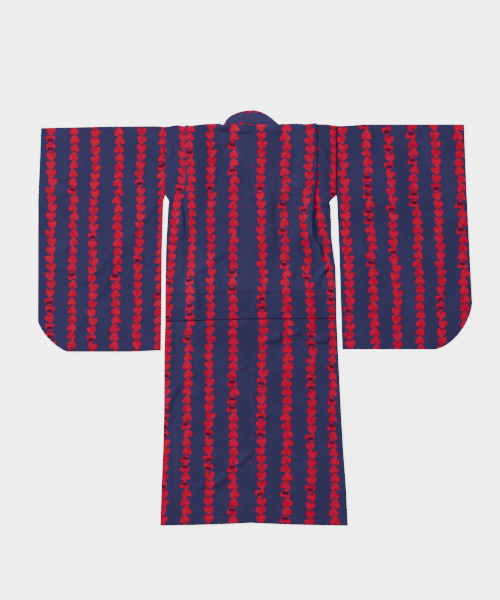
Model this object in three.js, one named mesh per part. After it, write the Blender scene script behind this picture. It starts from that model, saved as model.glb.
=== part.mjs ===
// A child's cotton yukata laid out flat, face down, so that its back is uppermost.
//
// Millimetres, +Z up. In the drawing below the back seam is the line x = 0, the shoulder fold
// lies along y = 0 and the hem towards -y. "Down" is always the distance below that fold.
// Left and right are the sides of the page, which are also the wearer's left and right.
// The layers from the floor up are the left front, the right front over it, then the back.
import * as THREE from 'three';

// Cloth: one layer's thickness, the space kept between layers and between sewn edges, and a
// little more under the back, which is stretched over both fronts.
const WALL = 1.0;
const GAP = 0.3;
const STEP = WALL + GAP;
const BACK_EASE = 0.15;
const TURN = STEP / 2;
const TURN_ANGLES = [Math.PI / 3, (2 * Math.PI) / 3];

// Lengths from the shoulder fold down, and widths from the back seam out.
const LENGTH = 841;
const HEM_RISE = 6;
const FRONT_HEM_LIFT = 3;
const HEM_DEPTH = 17;
const HALF_BACK = 179.6;
const ARMHOLE = 148;

// Shoulder tuck (kata-age): a pleat along each shoulder, its fold towards the sleeve.
const TUCK_FOLD = 137;
const TUCK_DEPTH = 17;
const TUCK_SLOPE = 24;

// Waist tuck (koshi-age): a pleat round the body, its fold towards the hem.
const WAIST_STITCH = 352.2;
const WAIST_DEPTH = 53;
const WAIST_SAG = { left: 0.03, right: -0.008 };

// Neck, collar band (eri) and overlap panels (okumi).
const NECK_HALF = 62;
const COLLAR_WALL = 2.0;
const COLLAR_WIDTH = 45;
const COLLAR_CORNER_WIDTH = 8;
const COLLAR_GROWS_BY = 120;
const COLLAR_RISE = 31;
const COLLAR_ARCH_HALF = 55;
const COLLAR_ARCH_POWER = 1.8;
const COLLAR_NECK_STATIONS = [0, 0.22, 0.44, 0.64, 0.8, 0.93];
const COLLAR_FRONT_STATIONS = [2, 18, 35, 53, 72, 91, 110, 129, 148, 168, 190, 212, 236, 262, 290];
const COLLAR_FOOT = 318;
const COLLAR_FOOT_SLANT = 30;
const FRONT_WIDTH = 164;
const FRONT_SEAM = HALF_BACK - FRONT_WIDTH;
const OVERLAP_EDGE = 95;
const OVERLAP_TOP = 152;

// How an upper layer settles over the edge of a lower one.
const HOLD = 22;
const FADE = 44;
const WAIST_HOLD = 6;
const WAIST_FADE = 64;
const TUCK_HOLD = 5;
const TUCK_FADE = 24;

// Half width of the body at each distance down, for the back and the front layer.
const BODY_EDGE = [
  { down: 0, left: 179.45, right: 179.45, frontRight: 179.45 },
  { down: ARMHOLE, left: 179.45, right: 179.45, frontRight: 179.45 },
  { down: 160, left: 171.5, right: 163, frontRight: 165 },
  { down: 175, left: 174, right: 166.5, frontRight: 168 },
  { down: 200, left: 175, right: 168.5, frontRight: 167.5 },
  { down: 230, left: 177, right: 169, frontRight: 168 },
  { down: 262, left: 178.5, right: 172.5, frontRight: 171.5 },
  { down: 300, left: 179, right: 178, frontRight: 177 },
  { down: 407, left: 180, right: 180, frontRight: 179 },
  { down: 470, left: 182, right: 183, frontRight: 182 },
  { down: 600, left: 182.5, right: 189.5, frontRight: 188.5 },
  { down: 680, left: 184.5, right: 194, frontRight: 193 },
  { down: 760, left: 188, right: 200, frontRight: 199 },
  { down: LENGTH, left: 190.5, right: 204, frontRight: 202 },
];

// How the shoulder tuck opens below its last stitch: the pleat's depth, how far its columns have
// spread back to even spacing, and the height of the ridge that is left.
const TUCK_OPENS = [
  { down: 0, depth: TUCK_DEPTH, spread: 0, height: 1 },
  { down: 150, depth: TUCK_DEPTH, spread: 0, height: 1 },
  { down: 180, depth: 1, spread: 0, height: 1 },
  { down: 205, depth: 1, spread: 0.15, height: 0.8 },
  { down: 240, depth: 1, spread: 0.45, height: 0.35 },
  { down: 272, depth: 1, spread: 1, height: 0 },
];

// Columns of a body panel from the side to the neck corner: the place at the shoulder, counted
// from the tuck's fold, how far the column follows the pleat's depth, and the layer it is on,
// for the back (outside up) and the front (outside down).
const TUCK_COLUMNS = [
  { place: TUCK_SLOPE, follows: 0, back: 0, front: 0 },
  { place: 4, follows: 0, back: 0, front: 2 },
  { place: 0, follows: 1, back: 0, front: 2 },
  ...TURN_ANGLES.map((a) => turnColumn(a, -1, 1, 0)),
  { place: 0, follows: 1, back: 1, front: 1 },
  { place: 0, follows: 0, back: 1, front: 1 },
  ...TURN_ANGLES.map((a) => turnColumn(a, 1, 0, 1)),
  { place: 0, follows: 0, back: 2, front: 0 },
  { place: -19, follows: 0, back: 2, front: 0 },
  { place: -53, follows: 0, back: 0, front: 0 },
];

// Rows of a body or overlap panel from the hem up to the shoulder: the line each is measured
// from, the distance below that line, and the layer it is on, back and front.
const ROW_OVER_WAIST = { from: 'stitch', below: -35, back: 0, front: 0 };
const ROW_AT_FOLD = { from: 'shoulder', below: 2, back: 0, front: 0 };
const ROWS = [
  { from: 'hem', below: 0, back: 0, front: 0 },
  { from: 'hem', below: -HEM_DEPTH, back: 0, front: 0 },
  { from: 'shoulder', below: 740, back: 0, front: 0 },
  { from: 'shoulder', below: 640, back: 0, front: 0 },
  { from: 'shoulder', below: 545, back: 0, front: 0 },
  { from: 'flap', below: 75, back: 0, front: 0 },
  { from: 'flap', below: 36, back: 0, front: 0 },
  { from: 'flap', below: 3, back: 0, front: 2 },
  { from: 'stitch', below: 0, back: 0, front: 2 },
  ...TURN_ANGLES.map((a) => turnRow('stitch', a, -1, 0)),
  { from: 'stitch', below: 0, back: 1, front: 1 },
  { from: 'flap', below: 0, back: 1, front: 1 },
  ...TURN_ANGLES.map((a) => turnRow('flap', a, 1, 1)),
  { from: 'flap', below: 0, back: 2, front: 0 },
  { from: 'stitch', below: -2, back: 2, front: 0 },
  ROW_OVER_WAIST,
  { from: 'shoulder', below: 272, back: 0, front: 0 },
  { from: 'shoulder', below: 240, back: 0, front: 0 },
  { from: 'shoulder', below: 205, back: 0, front: 0 },
  { from: 'shoulder', below: 180, back: 0, front: 0 },
  { from: 'shoulder', below: 160, back: 0, front: 0 },
  { from: 'shoulder', below: ARMHOLE, back: 0, front: 0 },
  { from: 'shoulder', below: 110, back: 0, front: 0 },
  { from: 'shoulder', below: 72, back: 0, front: 0 },
  { from: 'shoulder', below: 53, back: 0, front: 0 },
  { from: 'shoulder', below: 35, back: 0, front: 0 },
  ROW_AT_FOLD,
];

// Sleeves (sode), each a flat tube from the open inner edge to the wrist opening. Widths are
// measured from the back seam. The outer corner is part of a superellipse.
const SLEEVES = {
  left: { side: -1, cuff: 440.6, wrist: 446.5, outer: 447, bottom: 476, innerBottom: 473,
    cuffDrop: 4.8, corner: { width: 63, height: 65, power: 1.4 } },
  right: { side: 1, cuff: 447.7, wrist: 453.5, outer: 464.5, bottom: 471, innerBottom: 471,
    cuffDrop: 0.6, corner: { width: 80, height: 98, power: 1.65 } },
};
const WRIST_OPENING = 155;
const SLEEVE_INNER = [
  { down: 0, left: 179.75, right: 179.75 },
  { down: ARMHOLE, left: 179.75, right: 179.75 },
  { down: 160, left: 183.5, right: 180.5 },
  { down: 262, left: 186.5, right: 185 },
  { down: 471, left: 188.6, right: 191.5 },
];
const SLEEVE_FRACTIONS = [0, 0.12, 0.314, 0.34, 0.55, 0.78, 1];
const SLEEVE_BOTTOM_STEPS = 4;
const SLEEVE_CORNER_STEPS = 5;
const SLEEVE_EDGE_STEPS = 3;

const CLOTH = { color: 0x33375d, roughness: 0.92, metalness: 0 };
const COLLAR_CLOTH = { color: 0x3e426e, roughness: 0.92, metalness: 0 };

// ---- small helpers -------------------------------------------------------------------------

// A column on a turn of the shoulder tuck, at one angle round the half circle.
function turnColumn(angle, towards, follows, layer) {
  const rise = layer + (1 - Math.cos(angle)) / 2;
  return { place: towards * TURN * Math.sin(angle), follows, back: rise, front: 2 - rise };
}

// A row on a turn of the waist tuck, at one angle round the half circle.
function turnRow(from, angle, towards, layer) {
  const rise = layer + (1 - Math.cos(angle)) / 2;
  return { from, below: towards * TURN * Math.sin(angle), back: rise, front: 2 - rise };
}

// The value of one column of a table at a distance down, in straight lines between its rows.
function readTable(table, column, down) {
  const next = table.findIndex((row) => row.down > down);
  if (next < 0) return table[table.length - 1][column];
  if (next === 0) return table[0][column];
  const before = table[next - 1];
  const after = table[next];
  const share = (down - before.down) / (after.down - before.down);
  return THREE.MathUtils.lerp(before[column], after[column], share);
}

// 1 up to the distance held, falling smoothly to 0 over the fade.
function settle(distance, hold, fade) {
  return 1 - THREE.MathUtils.smoothstep(distance, hold, hold + fade);
}

// ---- lines of the garment ------------------------------------------------------------------

function waistSag(x) {
  return x < 0 ? -x * WAIST_SAG.left : x * WAIST_SAG.right;
}

function stitchLine(x) {
  return WAIST_STITCH + waistSag(x);
}

function flapLine(x) {
  return stitchLine(x) + WAIST_DEPTH;
}

function hemLine(x) {
  return LENGTH - HEM_RISE * Math.max(0, 1 - Math.abs(x) / 200) ** 1.6;
}

// Where a row of the table lies at x, on the back or on the front layer.
function rowDown(row, x, layer) {
  const lift = layer === 'front' ? FRONT_HEM_LIFT : 0;
  if (row.from === 'hem') return hemLine(x) + row.below - lift;
  if (row.from === 'flap') return flapLine(x) + row.below;
  if (row.from === 'stitch') return stitchLine(x) + row.below;
  return row.below;
}

function collarWidth(down) {
  const share = THREE.MathUtils.clamp(down / COLLAR_GROWS_BY, 0, 1);
  return THREE.MathUtils.lerp(COLLAR_CORNER_WIDTH, COLLAR_WIDTH, share);
}

// The collar's seam on a front, as x measured from the back seam towards the side it starts
// from: positive at the neck corner, negative once it has crossed to the other side.
const COLLAR_SLOPE = (NECK_HALF + OVERLAP_EDGE - COLLAR_WIDTH) / (COLLAR_FOOT + COLLAR_FOOT_SLANT);

function collarSeam(down) {
  return NECK_HALF - COLLAR_SLOPE * down;
}

function collarFree(down) {
  return collarSeam(down) - collarWidth(down);
}

// How far a front reaches past the back seam, its collar or overlap panel included.
function frontReach(down) {
  return Math.min(-collarFree(down), OVERLAP_EDGE);
}

// ---- how high each layer lies --------------------------------------------------------------

// Height that one front gives to what lies on it. "across" is x towards that front's own side.
function frontBulk(across, down, x) {
  const covered = settle(-across - frontReach(down), HOLD, FADE);
  const intoWaist = Math.max(stitchLine(x) - down, down - flapLine(x), 0);
  const waist = 2 * STEP * settle(intoWaist, WAIST_HOLD, WAIST_FADE) * covered;
  const fromCollar = Math.max(across - collarSeam(down), collarFree(down) - across, 0);
  const belowFoot = settle(down - COLLAR_FOOT - COLLAR_FOOT_SLANT, HOLD, FADE);
  const collar = (COLLAR_WALL - WALL) * settle(fromCollar, HOLD, FADE) * belowFoot;
  const fromTuck = Math.max(across - TUCK_FOLD - 6, TUCK_FOLD - TUCK_DEPTH - 2 - across, 0);
  const opening = readTable(TUCK_OPENS, 'height', down);
  const tuck = 2 * STEP * opening * settle(fromTuck, TUCK_HOLD, TUCK_FADE);
  return STEP * covered + waist + collar + tuck;
}

// Height of the underside of a layer: the left front is on the floor, the right front on the
// left one, and the back on both.
const UNDERSIDE = {
  leftFront: () => 0,
  rightFront: (x, down) => frontBulk(-x, down, x),
  back: (x, down) => frontBulk(-x, down, x) + frontBulk(x, down, x) + BACK_EASE,
};

function frontSheet(side) {
  return side < 0 ? 'leftFront' : 'rightFront';
}

// ---- a wall of cloth from a grid of points -------------------------------------------------

function isCell(grid, r, c) {
  const inside = r >= 0 && c >= 0 && r + 1 < grid.length && c + 1 < grid[0].length;
  return inside && [grid[r][c], grid[r][c + 1], grid[r + 1][c], grid[r + 1][c + 1]].every(Boolean);
}

// Direction square to the grid at one point, from the points on each side of it.
function gridNormal(grid, r, c) {
  const at = (row, column) => grid[row]?.[column] || grid[r][c];
  const across = at(r, c + 1).clone().sub(at(r, c - 1));
  const along = at(r + 1, c).clone().sub(at(r - 1, c));
  return across.cross(along).normalize();
}

// A closed solid: the grid's points moved half the thickness out on each face, with a rim
// round every edge. Grid points may be null, where the cloth is cut away.
function clothWall(grid, thickness) {
  const columns = grid[0].length;
  const positions = [];
  const indices = [];
  for (const towards of [1, -1]) {
    grid.forEach((row, r) => row.forEach((point, c) => {
      const moved = point ? point.clone() : new THREE.Vector3();
      if (point) moved.addScaledVector(gridNormal(grid, r, c), (towards * thickness) / 2);
      positions.push(...moved.toArray());
    }));
  }
  const lower = grid.length * columns;
  const quad = (a, b, c, d) => indices.push(a, b, c, a, c, d);
  const rim = (a, b) => quad(b, a, a + lower, b + lower);
  for (let r = 0; r + 1 < grid.length; r++) {
    for (let c = 0; c + 1 < columns; c++) {
      if (!isCell(grid, r, c)) continue;
      const near = r * columns + c;
      const far = near + columns;
      quad(near, near + 1, far + 1, far);
      quad(far + lower, far + 1 + lower, near + 1 + lower, near + lower);
      if (!isCell(grid, r - 1, c)) rim(near, near + 1);
      if (!isCell(grid, r + 1, c)) rim(far + 1, far);
      if (!isCell(grid, r, c - 1)) rim(far, near);
      if (!isCell(grid, r, c + 1)) rim(near + 1, far + 1);
    }
  }
  return closedGeometry(positions, indices);
}

// A closed solid from a flat tube's rings: each ring is a closed loop of points, and the tube
// is open at its first and last ring.
function tubeWall(rings, thickness) {
  const around = rings[0].length;
  const at = (k, i) => rings[THREE.MathUtils.clamp(k, 0, rings.length - 1)][(i + around) % around];
  const positions = [];
  const indices = [];
  for (const towards of [1, -1]) {
    rings.forEach((ring, k) => ring.forEach((point, i) => {
      const round = at(k, i + 1).clone().sub(at(k, i - 1));
      const along = at(k + 1, i).clone().sub(at(k - 1, i));
      const normal = round.cross(along).normalize();
      positions.push(...point.clone().addScaledVector(normal, (towards * thickness) / 2).toArray());
    }));
  }
  const lower = rings.length * around;
  const quad = (a, b, c, d) => indices.push(a, b, c, a, c, d);
  for (let i = 0; i < around; i++) {
    const next = (i + 1) % around;
    for (let k = 0; k + 1 < rings.length; k++) {
      const near = k * around;
      const far = near + around;
      quad(near + i, near + next, far + next, far + i);
      quad(far + i + lower, far + next + lower, near + next + lower, near + i + lower);
    }
    const last = lower - around;
    quad(next, i, i + lower, next + lower);
    quad(last + i, last + next, last + next + lower, last + i + lower);
  }
  return closedGeometry(positions, indices);
}

// Geometry with its faces outward: they are turned over if the volume comes out negative.
function closedGeometry(positions, indices) {
  const corner = (i) => new THREE.Vector3().fromArray(positions, 3 * indices[i]);
  let volume = 0;
  for (let i = 0; i < indices.length; i += 3) {
    volume += corner(i).dot(corner(i + 1).cross(corner(i + 2)));
  }
  if (volume < 0) indices.reverse();
  const used = [...new Set(indices)];
  const renumbered = new Map(used.map((old, index) => [old, index]));
  const kept = used.flatMap((old) => positions.slice(3 * old, 3 * old + 3));
  const geometry = new THREE.BufferGeometry();
  geometry.setAttribute('position', new THREE.Float32BufferAttribute(kept, 3));
  geometry.setIndex(indices.map((old) => renumbered.get(old)));
  geometry.computeVertexNormals();
  return geometry;
}

// ---- body panels ---------------------------------------------------------------------------

// Inner edge of a front body panel: the collar seam above, the overlap panel's seam below.
function frontInner(down) {
  return Math.max(collarSeam(down), FRONT_SEAM) + GAP / 2;
}

// One column of a body panel: its distance from the back seam at this place down the cloth.
function columnReach(index, down, edge, inside) {
  const spread = readTable(TUCK_OPENS, 'spread', down);
  const last = TUCK_COLUMNS.length + inside.length;
  const even = THREE.MathUtils.lerp(edge, inside[inside.length - 1], index / last);
  if (index === 0) return edge;
  if (index > TUCK_COLUMNS.length) {
    return THREE.MathUtils.lerp(inside[index - 1 - TUCK_COLUMNS.length], even, spread);
  }
  const column = TUCK_COLUMNS[index - 1];
  const depth = readTable(TUCK_OPENS, 'depth', down);
  const folded = TUCK_FOLD + column.place - column.follows * depth;
  return THREE.MathUtils.lerp(folded, even, spread);
}

// The columns inside the shoulder tuck: one part way, the neck corner, and on the back three
// more to the back seam.
const NECK_COLUMN = TUCK_COLUMNS.length + 2;
const INSIDE_TUCK = TUCK_FOLD + TUCK_COLUMNS[TUCK_COLUMNS.length - 1].place;
const BACK_COLUMNS = [(INSIDE_TUCK + NECK_HALF) / 2, NECK_HALF, 42, 21, GAP / 2];
const COLUMN_COUNT = TUCK_COLUMNS.length + 1 + BACK_COLUMNS.length;

function frontColumns(down) {
  const inner = frontInner(down);
  return [(INSIDE_TUCK + inner) / 2, inner];
}

function columnLayer(index, layer, down) {
  const column = TUCK_COLUMNS[index - 1];
  return column ? column[layer] * readTable(TUCK_OPENS, 'height', down) : 0;
}

function bodyPoint(side, layer, row, index) {
  const isBack = layer === 'back';
  const roughDown = rowDown(row, side * TUCK_FOLD, layer);
  const edgeColumn = side < 0 ? 'left' : isBack ? 'right' : 'frontRight';
  const edge = readTable(BODY_EDGE, edgeColumn, roughDown) - (isBack || side > 0 ? 0 : GAP / 2);
  const inside = isBack ? BACK_COLUMNS : frontColumns(roughDown);
  const x = side * columnReach(index, roughDown, edge, inside);
  const atNeck = isBack && index > NECK_COLUMN && row === ROW_AT_FOLD;
  const down = atNeck ? GAP : rowDown(row, x, layer);
  const sheet = isBack ? 'back' : frontSheet(side);
  const layers = row[layer] + columnLayer(index, layer, down);
  const height = UNDERSIDE[sheet](x, down) + WALL / 2 + layers * STEP;
  return new THREE.Vector3(x, -down, height);
}

// The fold over the shoulder: a half circle from the front's last row to the back's.
function shoulderRow(frontRow, backRow, angle) {
  return frontRow.map((front, c) => {
    const back = backRow[c];
    if (!front) return null;
    const middle = front.clone().lerp(back, 0.5);
    const radius = (back.z - front.z) / 2;
    middle.y += radius * Math.sin(angle);
    middle.z -= radius * Math.cos(angle);
    return middle;
  });
}

function bodyPanel(side) {
  const indices = Array.from({ length: COLUMN_COUNT }, (_, index) => index);
  const front = ROWS.map((row) => indices.map((index) => (
    index > NECK_COLUMN ? null : bodyPoint(side, 'front', row, index))));
  const back = ROWS.map((row) => indices.map((index) => bodyPoint(side, 'back', row, index)));
  back.reverse();
  const fold = [0.25, 0.5, 0.75].map((turn) => (
    shoulderRow(front[front.length - 1], back[0], turn * Math.PI)));
  return clothWall([...front, ...fold, ...back], WALL);
}

// ---- overlap panels ------------------------------------------------------------------------

// Outer edge of an overlap panel: under the collar seam, then along the collar's slanted foot.
function overlapEdge(down) {
  const foot = COLLAR_FOOT + GAP;
  if (down <= foot) return -collarSeam(down) - GAP;
  const share = Math.min(1, (down - foot) / COLLAR_FOOT_SLANT);
  return THREE.MathUtils.lerp(-collarSeam(foot) - GAP, OVERLAP_EDGE, share);
}

function overlapPanel(side) {
  const shares = [0, 0.2, 0.4, 0.6, 0.8, 1];
  const foot = { from: 'shoulder', below: COLLAR_FOOT + GAP, back: 0, front: 0 };
  const rows = ROWS.filter((row) => row.from !== 'shoulder' || row.below > OVERLAP_TOP)
    .map((row) => (row === ROW_OVER_WAIST ? foot : row));
  const grid = rows.map((row) => shares.map((share) => {
    const roughDown = rowDown(row, 0, 'front');
    const across = THREE.MathUtils.lerp(GAP / 2 - FRONT_SEAM, overlapEdge(roughDown), share);
    const x = -side * across;
    const down = rowDown(row, x, 'front');
    const height = UNDERSIDE[frontSheet(side)](x, down) + WALL / 2 + row.front * STEP;
    return new THREE.Vector3(x, -down, height);
  }));
  return clothWall(grid, WALL);
}

// ---- collar --------------------------------------------------------------------------------

// Stations of one half of the collar from the middle of the neck to its foot, each with the
// seam edge and the free edge as { across, down }, and whether it is still above the back.
function collarStations() {
  const neck = COLLAR_NECK_STATIONS.map((share) => {
    const across = COLLAR_ARCH_HALF * share;
    const rise = COLLAR_RISE * (1 - share ** COLLAR_ARCH_POWER) ** (1 / COLLAR_ARCH_POWER);
    return { seam: [share * (NECK_HALF - 2), 0], free: [across, -rise], above: true };
  });
  const seamAt = (down) => collarSeam(down) - GAP;
  const front = COLLAR_FRONT_STATIONS.map((down) => (
    { seam: [seamAt(down), down], free: [collarFree(down), down], above: false }));
  const foot = { seam: [seamAt(COLLAR_FOOT), COLLAR_FOOT],
    free: [GAP - OVERLAP_EDGE, COLLAR_FOOT + COLLAR_FOOT_SLANT], above: false };
  return [...neck, ...front, foot];
}

// Height of the middle of the collar. It meets the back's neck edge, and drops to the fronts
// before it passes under the back at each corner.
function collarHeight(x, down, share, above, side) {
  const low = COLLAR_WALL / 2 + UNDERSIDE[frontSheet(side)](x, Math.max(down, 0));
  if (!above) return low;
  const atBack = Math.max(UNDERSIDE.back(x, GAP) + WALL / 2, COLLAR_WALL / 2);
  const dropped = THREE.MathUtils.smoothstep(Math.abs(x), NECK_HALF - 16, NECK_HALF - 4);
  const seam = THREE.MathUtils.lerp(atBack, COLLAR_WALL / 2, dropped);
  return THREE.MathUtils.lerp(seam, COLLAR_WALL / 2, share);
}

function collarBand() {
  const half = collarStations();
  const mirrored = half.slice(1).reverse();
  const stations = [...mirrored.map((s) => ({ ...s, side: -1 })), ...half.map((s) => ({ ...s, side: 1 }))];
  const shares = [0, 0.33, 0.67, 1];
  const grid = stations.map(({ seam, free, above, side }) => shares.map((share) => {
    const x = side * THREE.MathUtils.lerp(seam[0], free[0], share);
    const down = THREE.MathUtils.lerp(seam[1], free[1], share);
    return new THREE.Vector3(x, -down, collarHeight(x, down, share, above, side));
  }));
  return clothWall(grid, COLLAR_WALL);
}

// ---- sleeves -------------------------------------------------------------------------------

// Points along the closed edge of a sleeve, from the inner bottom corner to the wrist opening.
function sleeveEdgePath({ wrist, outer, bottom, innerBottom, corner }, innerFoot) {
  const cornerStart = outer - corner.width;
  const path = [];
  for (let i = 0; i < SLEEVE_BOTTOM_STEPS; i++) {
    const share = i / SLEEVE_BOTTOM_STEPS;
    const settled = Math.min(1, 3 * share);
    path.push([THREE.MathUtils.lerp(innerFoot, cornerStart, share),
      THREE.MathUtils.lerp(innerBottom, bottom, settled)]);
  }
  for (let i = 0; i <= SLEEVE_CORNER_STEPS; i++) {
    const angle = (i / SLEEVE_CORNER_STEPS) * (Math.PI / 2);
    path.push([cornerStart + corner.width * Math.sin(angle) ** (2 / corner.power),
      bottom - corner.height + corner.height * Math.cos(angle) ** (2 / corner.power)]);
  }
  const cornerTop = bottom - corner.height;
  for (let i = 1; i <= SLEEVE_EDGE_STEPS; i++) {
    const share = i / SLEEVE_EDGE_STEPS;
    path.push([THREE.MathUtils.lerp(outer, wrist, share),
      THREE.MathUtils.lerp(cornerTop, WRIST_OPENING, share)]);
  }
  return path;
}

// One layer of a sleeve at one ring: points from the shoulder fold to the closed edge.
function sleeveLine(sleeve, name, foot, share) {
  const innerTop = SLEEVE_INNER[0][name];
  const innerFoot = SLEEVE_INNER[SLEEVE_INNER.length - 1][name];
  const topReach = THREE.MathUtils.lerp(innerTop, sleeve.cuff, share);
  const topDown = ROW_AT_FOLD.below + sleeve.cuffDrop * share;
  return SLEEVE_FRACTIONS.map((fraction) => {
    const down = THREE.MathUtils.lerp(topDown, foot[1] - TURN, fraction);
    const straight = THREE.MathUtils.lerp(innerTop, innerFoot, fraction);
    const follow = (readTable(SLEEVE_INNER, name, down) - straight) * (1 - share) ** 2;
    return [THREE.MathUtils.lerp(topReach, foot[0], fraction) + follow, down];
  });
}

function sleeveRing(sleeve, name, foot, share) {
  const line = sleeveLine(sleeve, name, foot, share);
  const place = ([reach, down], z) => new THREE.Vector3(sleeve.side * reach, -down, z);
  const bend = (end, inward, angle) => {
    const [reach, down] = end;
    const run = new THREE.Vector2(reach - inward[0], down - inward[1]).normalize();
    const out = TURN * Math.sin(angle);
    const z = WALL / 2 + TURN * (1 - Math.cos(angle));
    return place([reach + run.x * out, down + run.y * out], z);
  };
  const lastPoint = line.length - 1;
  const front = line.map((point) => place(point, WALL / 2));
  const back = line.map((point) => place(point, WALL / 2 + STEP)).reverse();
  const bottom = TURN_ANGLES.map((angle) => bend(line[lastPoint], line[lastPoint - 1], angle));
  const top = TURN_ANGLES.map((angle) => bend(line[0], line[1], Math.PI - angle));
  return [...front, ...bottom, ...back, ...top];
}

function sleeveTube(name) {
  const sleeve = SLEEVES[name];
  const path = sleeveEdgePath(sleeve, SLEEVE_INNER[SLEEVE_INNER.length - 1][name]);
  const rings = path.map((foot, k) => sleeveRing(sleeve, name, foot, k / (path.length - 1)));
  return tubeWall(rings, WALL);
}

// ---- the garment ---------------------------------------------------------------------------

function piece(name, geometry, look) {
  const mesh = new THREE.Mesh(geometry, new THREE.MeshStandardMaterial(look));
  mesh.name = name;
  return mesh;
}

const garment = new THREE.Group();
for (const [name, side] of [['left', -1], ['right', 1]]) {
  garment.add(piece(`body_${name}`, bodyPanel(side), CLOTH));
  garment.add(piece(`okumi_${name}`, overlapPanel(side), CLOTH));
  garment.add(piece(`sleeve_${name}`, sleeveTube(name), CLOTH));
}
garment.add(piece('collar', collarBand(), COLLAR_CLOTH));

// The origin is the middle of the laid-out garment, on the surface that it lies on.
const middle = new THREE.Box3().setFromObject(garment).getCenter(new THREE.Vector3());
garment.position.set(-middle.x, -middle.y, 0);

const yukata = new THREE.Group();
yukata.add(garment);
export default yukata;
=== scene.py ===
import math

import bpy
import numpy as np
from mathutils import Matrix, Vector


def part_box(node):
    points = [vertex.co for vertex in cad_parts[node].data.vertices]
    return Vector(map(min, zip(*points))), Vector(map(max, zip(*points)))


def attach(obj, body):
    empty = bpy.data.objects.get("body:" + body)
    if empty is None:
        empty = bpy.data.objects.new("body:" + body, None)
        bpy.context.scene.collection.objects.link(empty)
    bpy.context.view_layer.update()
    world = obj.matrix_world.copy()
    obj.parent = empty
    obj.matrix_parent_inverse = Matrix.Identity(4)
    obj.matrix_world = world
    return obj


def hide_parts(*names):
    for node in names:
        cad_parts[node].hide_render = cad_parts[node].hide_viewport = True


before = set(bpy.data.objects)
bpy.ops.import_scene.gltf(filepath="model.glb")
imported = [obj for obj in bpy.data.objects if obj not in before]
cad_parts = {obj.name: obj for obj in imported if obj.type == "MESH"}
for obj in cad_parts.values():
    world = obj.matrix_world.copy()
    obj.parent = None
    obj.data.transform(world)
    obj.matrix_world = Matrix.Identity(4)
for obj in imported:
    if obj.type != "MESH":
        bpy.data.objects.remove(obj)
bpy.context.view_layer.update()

# ---- Printed cotton --------------------------------------------------------------------------
# Plain-weave cotton, dyed navy and screen-printed with chains of red hearts that run down the
# cloth, one chain pointing down and the next one up. Every piece is cut from this one cloth.

COLUMN_PITCH = 48.0      # mm between the middles of two chains
HEART_PITCH = 17.9       # mm from one heart to the next: each tip sits in the next one's notch
HEART_HALF_WIDTH = 10.2  # mm
HEART_UNIT_HEIGHT = 8.3  # mm for one unit of the heart's formula, which is 2.3 units tall
HEART_MIDDLE = 0.17      # units from the formula's origin up to the heart's middle
HEART_SWAY = 2.6         # mm, how far a heart strays from the middle of its chain
HEART_TILT = 0.24        # radians
HEART_SMALLEST, HEART_SIZE_RANGE = 0.95, 0.1
LOBE_LIFT = 0.9          # units that the lobes are raised above the notch
LOBE_POWER = 0.76        # below 1, so that the lobes are round and the notch is sharp
MARK_HALF = (6.4, 3.4)   # mm, half size of the small dark bar printed across some hearts
MARK_POWER = 4.0         # how square the bar's ends are
MARK_SHARE = 0.18        # of the hearts
CHAIN_DRAW = 7.3         # sets the draw for a chain's start apart from its hearts' draws

NAVY = ("#322f55", "#36325a")      # full and faded
NAVY_RIM = "#1c243f"
HEART_RED = ("#b30033", "#c10038")  # worn and fresh
MARK_DARK = "#4c1836"

# Sizes of the dye's and the yarn's unevenness, as features for each mm, and their strength.
FADING_SCALE = 0.013
INK_SCALE = 0.06
SLUB_SCALE = (0.55, 0.04)      # across a slub and along it
SLUB_SHADE = (0.86, 1.14)      # of the darkest and the lightest yarn
SLUB_ROUGHNESS = (0.82, 0.95)
RIM_REACH = (0.17, 0.05)       # heart units outside its edge: where the rim starts and is full
PRINT_EDGE = 0.035             # heart units, half the width of the print's soft edge
THREAD_SPACING = 0.8     # mm, twice the real spacing, so that the weave shows close up
WAVE_PERIOD = 0.314      # mm, the wave texture's period at a scale of 1
WAVE_WANDER = 0.4        # how unevenly the threads run
SLUB_RELIEF, WEAVE_RELIEF = 0.8, 0.35
RELIEF_STRENGTH, RELIEF_HEIGHT = 0.35, 0.0004  # share, and m
MATHS, RANGE, SMOOTH = "ShaderNodeMath", "ShaderNodeMapRange", "SMOOTHSTEP"
MIX, NOISE = "ShaderNodeMix", "ShaderNodeTexNoise"


def linear(hex_colour):
    """sRGB hex to linear RGBA: c/12.92 below 0.04045, else ((c + 0.055)/1.055) ** 2.4."""
    srgb = np.array([int(hex_colour[i:i + 2], 16) for i in (1, 3, 5)]) / 255
    rgb = np.where(srgb <= 0.04045, srgb / 12.92, ((srgb + 0.055) / 1.055) ** 2.4)
    return (*rgb, 1.0)


def fill(node, inputs):
    """Sets inputs, in order or by name, to values, sockets or other nodes' first outputs."""
    for key, value in (inputs if isinstance(inputs, dict) else dict(enumerate(inputs))).items():
        if isinstance(value, bpy.types.Node):
            value = value.outputs[0]
        if isinstance(value, bpy.types.NodeSocket):
            node.id_data.links.new(value, node.inputs[key])
        else:
            node.inputs[key].default_value = value
    return node


def add(tree, kind, inputs=(), operation=None, **settings):
    """Adds a node, sets its operation and other properties, and fills its inputs."""
    node = tree.nodes.new(kind)
    if operation:
        node.operation = operation
    for name, value in settings.items():
        setattr(node, name, value)
    return fill(node, inputs)


def new_material(name):
    """A material with its nodes on, and its shader."""
    material = bpy.data.materials.new(name)
    material.use_nodes = True
    return material, material.node_tree.nodes["Principled BSDF"]


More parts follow.
